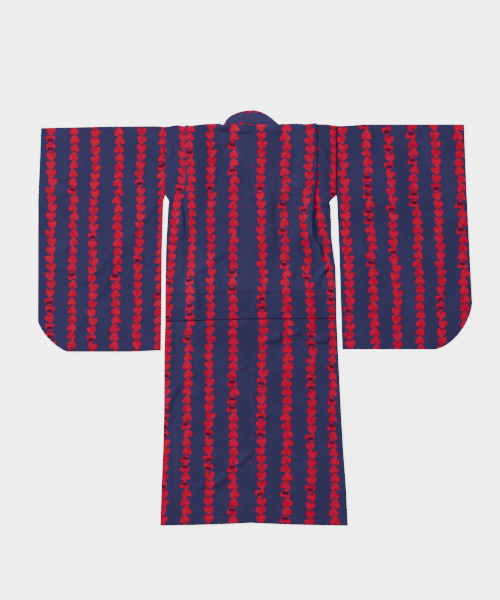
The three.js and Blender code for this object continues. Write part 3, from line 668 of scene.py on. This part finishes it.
def panel_grid(rows, steps, x_at, lift):
    """x and distance down over a panel, each dense row between two rows' lines; the row before
    each dense one, and the eased share of the way to the next."""
    before, share = dense(steps)
    fold = np.float64(TUCK_FOLD)
    rough = np.array([line_down(rows[i], fold, lift) * (1 - t)
                      + line_down(rows[i + 1], fold, lift) * t for i, t in zip(before, share)])
    x = x_at(rough)
    low = np.array([line_down(rows[i], x[r], lift) for r, i in enumerate(before)])
    high = np.array([line_down(rows[i + 1], x[r], lift) for r, i in enumerate(before)])
    return x, low + (high - low) * share[:, None], before, ease(share)


def body_layer(side, on_back):
    """One layer of a body panel: points on a grid and their cloth coordinates. Height is the
    underside, half a wall and the layers below, each row's and the shoulder tuck's added up."""
    inside_steps = BACK_INSIDE_STEPS if on_back else FRONT_INSIDE_STEPS
    before, share = dense([*TUCK_COLUMNS[:, 4].astype(int), *inside_steps])
    inside_order = BACK_INSIDE_ORDER if on_back else FRONT_INSIDE_ORDER
    order = between(np.concatenate([TUCK_COLUMNS[:, 3], inside_order]), before, share)
    edge_column = 1 if side < 0 else (2 if on_back else 3)

    def x_at(rough):
        rough = rough[:, None]
        depth, spread = read(TUCK_OPENS[side], 1, rough), read(TUCK_OPENS[side], 2, rough)
        fold = TUCK_FOLD + read(TUCK_OPENS[side], 4, rough)
        edge = read(BODY_EDGE, edge_column, rough)
        inner = np.maximum(collar_seam(rough), FRONT_SEAM) + GAP / 2
        folded = fold + TUCK_COLUMNS[:, 0] - TUCK_COLUMNS[:, 1] * depth
        folded[:, :1] = edge
        inside = np.hstack([(TUCK_INSIDE + inner) / 2, inner])
        if on_back:
            inside = BACK_INSIDE + 0 * rough
        straight = between(np.hstack([folded, inside]).T, before, share[:, None]).T
        even = edge + (inside[:, -1:] - edge) * order / order[-1]
        return side * (straight + (even - straight) * spread)

    x, down, row_before, row_eased = panel_grid(
        ROWS, BACK_STEPS if on_back else FRONT_STEPS, x_at, 0.0 if on_back else FRONT_HEM_LIFT)
    if on_back:
        into_neck = NECK_HALF - np.abs(x[-1])
        rising = np.clip(into_neck / NECK_FADE, 0, 1)
        at_neck = into_neck > NECK_EDGE
        down[-1] = np.where(at_neck, TOP_ROW + (GAP - TOP_ROW) * rising, down[-1])
    row_layer = between(ROWS[:, 2 if on_back else 3], row_before, row_eased)
    raised = (TUCK_COLUMNS[:, 3] >= TUCK_ORDERS[0]) & (TUCK_COLUMNS[:, 3] <= TUCK_ORDERS[1])
    tuck = np.where(raised, TUCK_COLUMNS[:, 2] if on_back else 2 - TUCK_COLUMNS[:, 2], 0)
    tuck = between(np.concatenate([tuck, np.zeros(len(inside_order))]), before, ease(share))
    layers = row_layer[:, None] + tuck * read(TUCK_OPENS[side], 3, down)
    height = underside("back" if on_back else FRONTS[side], x, down) + WALL / 2 + layers * STEP
    if on_back:
        relief = creased("back", x, down) + uneven(x, down)
        height = height + relief * np.clip(down / CREASE_START, 0, 1)
        height = height - SEAM_DIP * np.exp(-np.abs(x) / SEAM_DIP_WIDTH) - stitched_in(x, down)
        into_tuck = 1 - np.clip((order - INNER_FOLD) / FOLD_TO_FOLD, 0, 1)
        across = body_chains(side, x, down, into_tuck) * COLUMN_PITCH
    else:
        across = chain_number(chain_places(CHAINS[side], down), x) * COLUMN_PITCH
    path = np.hypot(np.diff(down, axis=0), np.diff(height, axis=0))
    path = np.vstack([np.zeros((1, down.shape[1])), np.cumsum(path, axis=0)])
    from_shoulder = path[-1:] - path
    return np.stack([x, -down, height], axis=-1), np.stack([across, from_shoulder], axis=-1) / 1000


def body_panel(side, name, node):
    """Front, shoulder fold and back as one sheet; the neck is cut out of the front and fold. The
    fold is a half circle: y + r sin(a), z - r cos(a), from the front's top row to the back's."""
    front, front_uv = body_layer(side, False)
    back, back_uv = (grid[::-1] for grid in body_layer(side, True))
    missing = back.shape[1] - front.shape[1]
    front, front_uv = (np.pad(grid, ((0, 0), (0, missing), (0, 0)), mode="edge")
                       for grid in (front, front_uv))
    angle = np.linspace(0, np.pi, SHOULDER_TURN)[1:-1, None]
    middle = (front[-1] + back[0]) / 2
    radius = (back[0][:, 2] - front[-1][:, 2]) / 2
    fold = np.broadcast_to(middle, (len(angle), *middle.shape)).copy()
    fold[..., 1] += radius * np.sin(angle)
    fold[..., 2] -= radius * np.cos(angle)
    turn = angle[..., None] / np.pi
    fold_uv = front_uv[-1] * (1 - turn) + back_uv[0] * turn
    points = np.concatenate([front, fold, back])
    uv = np.concatenate([front_uv * (1, -1), fold_uv * (1, -1), back_uv])
    keep = np.ones((points.shape[0] - 1, points.shape[1] - 1), dtype=bool)
    keep[:len(front) + len(angle), points.shape[1] - 1 - missing:] = False
    return cloth_piece(name, node, points, uv + (COLUMN_PITCH * BODY_CUT * side / 1000, 0), keep)


for side, name in ((-1, "left"), (1, "right")):
    panel = body_panel(side, f"body_panel_{name}", f"body_{name}")


# ---- Overlap panels --------------------------------------------------------------------------
# The okumi: a narrow panel of the same cotton sewn to each front's edge, cut to a slant under
# the collar. It widens the front so that the two sides wrap over each other.

OVERLAP_TOP = 153        # mm down, where the slant starts under the collar
OVERLAP_ROWS = np.array([row for row in ROWS.tolist() if row[0] != 3 or row[1] > OVERLAP_TOP]
                        + [[3, OVERLAP_TOP, 0, 0]])
OVERLAP_STEPS = [*FRONT_STEPS[:-4], 6, 6]
OVERLAP_COLUMNS = 13
OVERLAP_CUT = 14         # chains from the cloth's start to this panel's stretch


def overlap_panel(side, name, node):
    """A grid from the front seam to the slanted collar seam, then to the straight front edge:
    x = seam + (edge - seam) * share, where the edge moves out over the collar's foot."""
    share = np.linspace(0, 1, OVERLAP_COLUMNS)

    def x_at(rough):
        rough = rough[:, None]
        foot = COLLAR_FOOT + GAP
        below = np.clip((rough - foot) / COLLAR_FOOT_SLANT, 0, 1)
        slant = -collar_seam(np.minimum(rough, foot)) - GAP
        edge = slant + (OVERLAP_EDGE - slant) * below
        inner = GAP / 2 - FRONT_SEAM
        return -side * (inner + (edge - inner) * share)

    x, down, before, eased = panel_grid(OVERLAP_ROWS, OVERLAP_STEPS, x_at, FRONT_HEM_LIFT)
    layer = between(OVERLAP_ROWS[:, 3], before, eased)
    height = underside(FRONTS[side], x, down) + WALL / 2 + layer[:, None] * STEP
    uv = np.stack([x * side + COLUMN_PITCH * OVERLAP_CUT, down], axis=-1) / 1000
    return cloth_piece(name, node, np.stack([x, -down, height], axis=-1), uv)


for side, name in ((-1, "left"), (1, "right")):
    panel = overlap_panel(side, f"overlap_panel_{name}", f"okumi_{name}")


# ---- Sleeves ---------------------------------------------------------------------------------
# The sode: one length folded at the shoulder line, sewn along the bottom, round the outer corner
# and up the edge to the wrist opening. It is sewn to the body down to the armhole's end.

# Reach of the shoulder fold, of the wrist opening's end and of the outer edge; how far down the
# bottom is, outside and inside; how far the fold's end drops; the corner's width, height and
# power; the chains of cloth before its stretch; and where its chains lie, as (down, x).
SLEEVES = {
    "left": dict(
        side=-1, cuff=440.6, wrist=446.5, outer=447.0, bottom=476.0, inner_bottom=473.0,
        drop=4.8, corner=(63, 65, 1.4), cut=-4,
        chains={-4: [(10, -418.1), (367, -420.2)], -3: [(10, -370), (367, -374), (461, -378)],
                -2: [(10, -327), (367, -333.9)], -1: [(10, -274.7), (367, -283.7), (461, -285.6)],
                0: [(10, -229.3), (367, -238.6), (461, -240.7)],
                1: [(10, -183.1), (367, -192.4)]}),
    "right": dict(
        side=1, cuff=447.7, wrist=453.5, outer=464.5, bottom=471.0, inner_bottom=471.0,
        drop=0.6, corner=(80, 98, 1.65), cut=16,
        chains={0: [(10, 189.2), (367, 206), (461, 207.3)],
                1: [(10, 241.3), (367, 258.5), (461, 261.5)],
                2: [(10, 287.5), (367, 305.6), (461, 306.8)], 3: [(10, 337.7), (367, 355.7)],
                4: [(10, 385.8), (367, 400)], 5: [(10, 435.1), (367, 449)]}),
}
WRIST_OPENING = 155.0    # from the shoulder fold

# The edge beside the body: distance down, and reach on the left and on the right.
SLEEVE_INNER = np.array([(0, 179.6, 179.6), (148, 179.6, 179.6), (160, 183.5, 180.5),
                         (262, 186.5, 185), (471, 188.6, 191.5)], dtype=float)

# Steps along the bottom, round the corner and up the outer edge, and the share of the shoulder
# fold's length that lies above the start of each, and above the end of the last.
BOTTOM_STEPS, CORNER_STEPS, UP_STEPS = 48, 36, 36
FOLD_SHARES = [0, 4 / 12, 9 / 12, 1]

# Rows of a layer, as shares of the way down: the places where its form bends, and even ones.
SLEEVE_BENDS = np.array([0, 0.314 / 2, 0.314, 0.34, 0.55, 0.78, 1])
FRONT_ROWS, BACK_ROWS = 22, 140
SLEEVE_TURN = 7          # points round half a turn, ends included
CREASE_FADE = 10         # mm from an edge over which the creases set in


def sleeve_edge(sleeve, inner_foot):
    """The closed edge as points (reach, down): along the bottom, at its full depth after a third
    of it, round a superellipse corner, and up the outer edge to the wrist opening. The corner is
    (width * sin(a)^(2/power), height * cos(a)^(2/power)), from where the bottom ends."""
    width, height, power = sleeve["corner"]
    outer, bottom, inner_bottom = sleeve["outer"], sleeve["bottom"], sleeve["inner_bottom"]
    start, end = outer - width, bottom - height
    t = np.arange(BOTTOM_STEPS) / BOTTOM_STEPS
    along = np.stack([inner_foot + (start - inner_foot) * t,
                      inner_bottom + (bottom - inner_bottom) * np.minimum(1, 3 * t)], axis=1)
    a = np.linspace(0, np.pi / 2, CORNER_STEPS + 1)
    corner = np.stack([start + width * np.sin(a) ** (2 / power),
                       end + height * np.cos(a).clip(0) ** (2 / power)], axis=1)
    t = np.arange(1, UP_STEPS + 1) / UP_STEPS
    up = np.stack([outer + (sleeve["wrist"] - outer) * t, end + (WRIST_OPENING - end) * t], axis=1)
    return np.vstack([along, corner, up])


def sleeve_tube(name):
    """A flat tube: at each ring the front layer, a half-circle turn at the closed edge, the back
    layer, and a half-circle turn at the shoulder fold. The lines down a layer are straight, and
    follow the edge beside the body by (1 - order)^2, order being 0 there and 1 at the wrist."""
    sleeve = SLEEVES[name]
    side = sleeve["side"]
    column = 1 if side < 0 else 2
    inner_foot = SLEEVE_INNER[-1, column]
    foot = sleeve_edge(sleeve, inner_foot)
    steps = len(foot) - 1
    starts = [0, BOTTOM_STEPS / steps, (BOTTOM_STEPS + CORNER_STEPS) / steps, 1]
    order = np.interp(np.arange(len(foot)) / steps, starts, FOLD_SHARES)

    def line(share):
        share = share[:, None]
        top_reach = HALF_BACK + (sleeve["cuff"] - HALF_BACK) * order
        top_down = TOP_ROW + sleeve["drop"] * order
        down = top_down + (foot[:, 1] - TURN - top_down) * share
        straight = HALF_BACK + (inner_foot - HALF_BACK) * share
        follow = (read(SLEEVE_INNER, column, down) - straight) * (1 - order) ** 2
        return top_reach + (foot[:, 0] - top_reach) * share + follow, down

    def layer(rows, height):
        reach, down = line(np.unique(np.concatenate([SLEEVE_BENDS, np.linspace(0, 1, rows)])))
        set_in = np.clip(np.minimum(down, foot[:, 1] - down) / CREASE_FADE, 0, 1)
        z = height + creased("through", side * reach, down) * set_in
        if height > WALL:
            own = creased(f"{name} sleeve", side * reach, down) + uneven(side * reach, down)
            z = z + own * set_in
        return np.stack([reach, down, z], axis=-1)

    def bend(end, inward, angle):
        run = end[:, :2] - inward[:, :2]
        run = run / np.linalg.norm(run, axis=1, keepdims=True)
        out = np.broadcast_to(end, (len(angle), *end.shape)).copy()
        out[..., :2] += TURN * np.sin(angle)[..., None] * run
        out[..., 2] = WALL / 2 + TURN * (1 - np.cos(angle))
        return out

    turn = np.linspace(0, np.pi, SLEEVE_TURN)[1:-1, None]
    front = layer(FRONT_ROWS, WALL / 2)
    back = layer(BACK_ROWS, WALL / 2 + STEP)[::-1]
    bottom = bend(front[-1], front[-2], turn)
    top = bend(back[-1], back[-2], turn[::-1])
    ring = np.concatenate([front, bottom, back, top])
    loop = np.concatenate([ring, ring[:1]])
    places = chain_places(sleeve["chains"], loop[..., 1])
    across = chain_number(places, side * loop[..., 0]) * COLUMN_PITCH
    down = loop[..., 1].copy()
    down[:len(front)] *= -1
    uv = np.stack([across + COLUMN_PITCH * sleeve["cut"], down], axis=-1) / 1000
    return cloth_piece(f"sleeve_tube_{name}", f"sleeve_{name}", ring * (side, -1, 1), uv,
                       close_rows=True)


for name, cut in (("left", (0.268, 0.952)), ("right", (0.285, 0.942))):
    tube = sleeve_tube(name)


# ---- Collar ----------------------------------------------------------------------------------
# The eri: a long band of the same cotton folded double, sewn round the back of the neck, where
# it stands up as a low arch, and down both front edges.

COLLAR_ARCH = {-1: (55.0, 1.85), 1: (52.0, 1.5)}  # half width in mm, and power, on each side
ARCH_STEPS, ARCH_END = 50, 0.93  # places along each half of it, and the share where they end
COLLAR_LEAN = 5.0        # mm that the arch's top leans to the right
SEAM_INSET = 2           # mm that the neck's seam ends before the neck's corner
UPPER_FRONT = (TOP_ROW, ARMHOLE, 30)            # from, to, and places on the way down
LOWER_FRONT = (OVERLAP_TOP, COLLAR_FOOT, 26)
BAND_ROWS = 15           # across the band
NECK_TURN = 5.0          # mm of the band turned in behind the back's neck edge
TURNED_IN = 7            # the band's width over what is turned in
TURNED_DROP, DROP_RATE = 1.6, 1.5   # mm that it lies lower, and how fast it gets there
CORNER_DROP = (NECK_HALF - 16, 12)  # mm: the band starts to come down here, over this distance
COLLAR_CLOTH = 1.7       # mm thick, as it is folded double
COLLAR_CUT = 60          # chains from the cloth's start to the collar's stretch
SEAM_ACROSS = 43.0       # mm from the chain along the free edge to the collar's seam
FOLD_CHAIN = (-3.0, 30.0, 2.0, 4.5)  # middle and reach of the red along the arch, mm to the chain
FOLD_MARGIN, FOLD_FADE = 2, 12      # mm past that reach, and the fade
SEAM_SHIFT = (4.8, 42, 8)           # mm less at the seam beside the neck: how much, from, over
# Painted light: the body's navy made paler, so that the collar looks more brightly lit, full and
# faded.
COLLAR_NAVY_PAINTED_LIGHT = ("#37355d", "#3b3862")

# The same cotton, folded double into a stiff band. Its navy is painted a little paler than the
# body's, as painted light for a band that stands up to the light.
collar_cotton_painted_light = printed_cotton("plain-weave cotton, printed, folded double, painted lighter", COLLAR_NAVY_PAINTED_LIGHT)


def collar_half(side):
    """Seam and free edge on one side, from the middle of the neck to the foot, as (x, down), and
    1 where they are behind the neck, else 0. The arch is rise * (1 - share^power)^(1/power)."""
    half, power = COLLAR_ARCH[side]
    share = np.linspace(0, ARCH_END, ARCH_STEPS)
    arch = COLLAR_RISE * (1 - share ** power) ** (1 / power)
    seam = np.stack([share * (NECK_HALF - SEAM_INSET), np.zeros(ARCH_STEPS)], axis=1)
    free = np.stack([half * share + side * COLLAR_LEAN * (1 - share), -arch], axis=1)
    down = np.concatenate([np.linspace(*UPPER_FRONT), np.linspace(*LOWER_FRONT)])
    seam = np.vstack([seam, np.stack([collar_seam(down) - GAP, down], axis=1)])
    at_foot = down >= COLLAR_FOOT
    slant = np.where(at_foot, COLLAR_FOOT_SLANT, 0)
    edge = np.where(at_foot, GAP - OVERLAP_EDGE, collar_free(down))
    free = np.vstack([free, np.stack([edge, down + slant], axis=1)])
    above = np.concatenate([np.ones(ARCH_STEPS), np.zeros(len(down))])
    return seam * (side, 1), free * (side, 1), above


def collar_band():
    """A band ruled between its two edges, seam + (free - seam) * share, laid at the height of
    what it meets. Its cloth is measured along the seam and across from the nearest chain."""
    left, right = collar_half(-1), collar_half(1)
    seam, free, above = (np.concatenate([a[:0:-1], b]) for a, b in zip(left, right))
    on_right_side = np.arange(len(seam)) >= len(left[0]) - 1
    share = np.linspace(0, 1, BAND_ROWS)[:, None]
    x = seam[:, 0] + (free[:, 0] - seam[:, 0]) * share
    under_neck = above * (1 - share * TURNED_IN).clip(0)
    down = seam[:, 1] + (free[:, 1] - seam[:, 1]) * share + NECK_TURN * under_neck
    on_left = underside("left front", x, down)
    on_right = underside("right front", x, down.clip(0))
    middle = COLLAR_WALL / 2
    low = middle + np.where(on_right_side, on_right, on_left) * (1 - above)
    at_back = np.maximum(underside("back", x, np.full_like(x, GAP)) + WALL / 2, middle)
    dropped = 1 - settle(np.abs(x), *CORNER_DROP)
    seam_height = at_back + (middle - at_back) * dropped
    standing = seam_height + (middle - seam_height) * share
    drop = TURNED_DROP * np.minimum(1, DROP_RATE * under_neck)
    height = np.where(above > 0, np.maximum(standing - drop, middle), low)
    length = np.concatenate([[0], np.cumsum(np.linalg.norm(np.diff(seam, axis=0), axis=1))])
    fold_middle, reach, nearest, further = FOLD_CHAIN
    aside = np.abs(free[:, 0] - fold_middle)
    near_fold = above * settle(aside, reach + FOLD_MARGIN, FOLD_FADE)
    plain = SEAM_ACROSS - np.linalg.norm(free - seam, axis=1)
    free_across = plain + (nearest + further * (aside / reach) ** 2 - plain) * near_fold
    shift, *beyond = SEAM_SHIFT
    seam_across = SEAM_ACROSS - shift * above * (1 - settle(np.abs(seam[:, 0]), *beyond))
    across = seam_across + (free_across - seam_across) * share
    uv = np.stack([across + COLUMN_PITCH * COLLAR_CUT, length + 0 * across], axis=-1) / 1000
    return cloth_piece("collar_band", "collar", np.stack([x, -down, height], axis=-1), uv,
                       thickness=COLLAR_CLOTH, material=collar_cotton_painted_light)


band = collar_band()


# ---- Stitching -------------------------------------------------------------------------------
# Navy cotton thread: a row of running stitches holds the waist tuck, and short blind stitches,
# of which only a speck shows, hold the turned-up hem. One mesh holds all of them.

THREAD_HALF = 0.2        # mm
THREAD_BOW, THREAD_SUNK = 1.6, 0.8  # of that: a stitch's rise in the middle, and its ends' depth
STITCH_STEPS, THREAD_SIDES = 6, 6
TUCK_STITCH, TUCK_STITCH_PITCH = 2.6, 4.4
HEM_STITCH, HEM_STITCH_PITCH = 1.1, 7.5
TUCK_ROW, HEM_ROW = (-176, 176), (-186, 198)  # x of each row's start and end
THREAD_NAVY = "#1d1c3a"

# Navy cotton thread: matt, and darker than the cloth, so that it reads as a line of fine dots.
thread, thread_shader = new_material("navy cotton thread")
fill(thread_shader, {"Base Color": linear(THREAD_NAVY), "Roughness": 0.8})


def stitch_row(x, down, length, layers):
    """Stitches along a row: each a six-sided tube, bowed up as a half sine over its length, and
    sunk into the cloth at both ends."""
    t = np.linspace(-0.5, 0.5, STITCH_STEPS + 1)
    around = np.arange(THREAD_SIDES) * 2 * np.pi / THREAD_SIDES
    along = x[:, None] + length * t
    path_down = np.interp(along, x, down)
    cloth = underside("back", along, path_down) + WALL / 2 + layers * STEP + CLOTH / 2
    cloth = cloth + creased("back", along, path_down) + uneven(along, path_down)
    bow = THREAD_HALF * (THREAD_BOW * np.cos(np.pi * t) - THREAD_SUNK)
    middle = cloth - stitched_in(along, path_down) + bow
    return np.stack(np.broadcast_arrays(
        along[..., None], THREAD_HALF * np.cos(around) - path_down[..., None],
        middle[..., None] + THREAD_HALF * np.sin(around)), axis=-1)


x = np.arange(*TUCK_ROW, TUCK_STITCH_PITCH)
tuck_row = stitch_row(x, stitch_line(x) + STITCH_DROP, TUCK_STITCH, 2)
x = np.arange(*HEM_ROW, HEM_STITCH_PITCH)
hem_row = stitch_row(x, hem_line(x) - HEM_DEPTH, HEM_STITCH, 0)
stitches = np.concatenate([tuck_row, hem_row])
number = np.arange(stitches[..., 0].size).reshape(stitches.shape[:3])
beside = np.roll(number, -1, axis=2)
quads = np.stack([number[:, :-1], beside[:, :-1], beside[:, 1:], number[:, 1:]], axis=-1)
stitch_mesh = bpy.data.meshes.new("thread stitches")
stitch_mesh.from_pydata(in_metres(stitches), [], quads.reshape(-1, 4).tolist())
stitch_mesh.shade_smooth()
stitch_mesh.materials.append(thread)
stitching = put("thread_stitches", stitch_mesh)
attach(stitching, "root")


# ---- Studio ----------------------------------------------------------------------------------
# A plain pale floor, one wide soft light above, and a stronger one further off to the upper
# left, whose slanting light shows the creases.

CAMERA_TARGET = (-0.0105, 0.0378)  # m, as are all sizes here
CAMERA_HEIGHT = 2.45
FRAME_HEIGHT = 1.26      # of the view at the floor
SENSOR = 36.0            # mm
FLOOR_HALF, FLOOR_DROP = 40, 0.0004
FLOOR_WHITE = "#f4f4f4"
FLOOR_GLOW = 4.0
LAMPS = (("overhead", (0.3, 0.2, 3.2), 3.0, 30),  # place, size, and power in W
         ("upper left", (-5.2, 4.0, 3.8), 2.4, 780))
ROOM_LIGHT = 0.25

# White paper on a lit table: matt, and so bright that the garment's outline stands out and only
# a faint shadow shows beside it.
paper, paper_shader = new_material("matt white paper")
fill(paper_shader, {"Base Color": linear(FLOOR_WHITE), "Roughness": 0.95,
                    "Emission Color": (1, 1, 1, 1), "Emission Strength": FLOOR_GLOW})
floor_mesh = bpy.data.meshes.new("floor")
floor_mesh.from_pydata([(x * FLOOR_HALF, y * FLOOR_HALF, -FLOOR_DROP)
                        for x, y in ((-1, -1), (1, -1), (1, 1), (-1, 1))], [], [(0, 1, 2, 3)])
floor_mesh.materials.append(paper)
floor = put("floor", floor_mesh)

for name, place, size, power in LAMPS:
    lamp = bpy.data.lights.new(name, "AREA")
    lamp.size = size
    lamp.energy = power
    light = put(name, lamp)
    light.location = place
    aim = -np.array(place)
    light.rotation_euler = (math.acos(-aim[2] / np.linalg.norm(aim)), 0,
                            math.atan2(aim[1], aim[0]) - math.pi / 2)

world = bpy.data.worlds.new("studio")
world.use_nodes = True
fill(world.node_tree.nodes["Background"], {"Color": (1, 1, 1, 1), "Strength": ROOM_LIGHT})
bpy.context.scene.world = world

lens = bpy.data.cameras.new("camera")
lens.sensor_fit = "VERTICAL"
lens.sensor_height = SENSOR
lens.lens = SENSOR * CAMERA_HEIGHT / FRAME_HEIGHT
camera = put("camera", lens)
camera.location = (*CAMERA_TARGET, CAMERA_HEIGHT)
bpy.context.scene.camera = camera
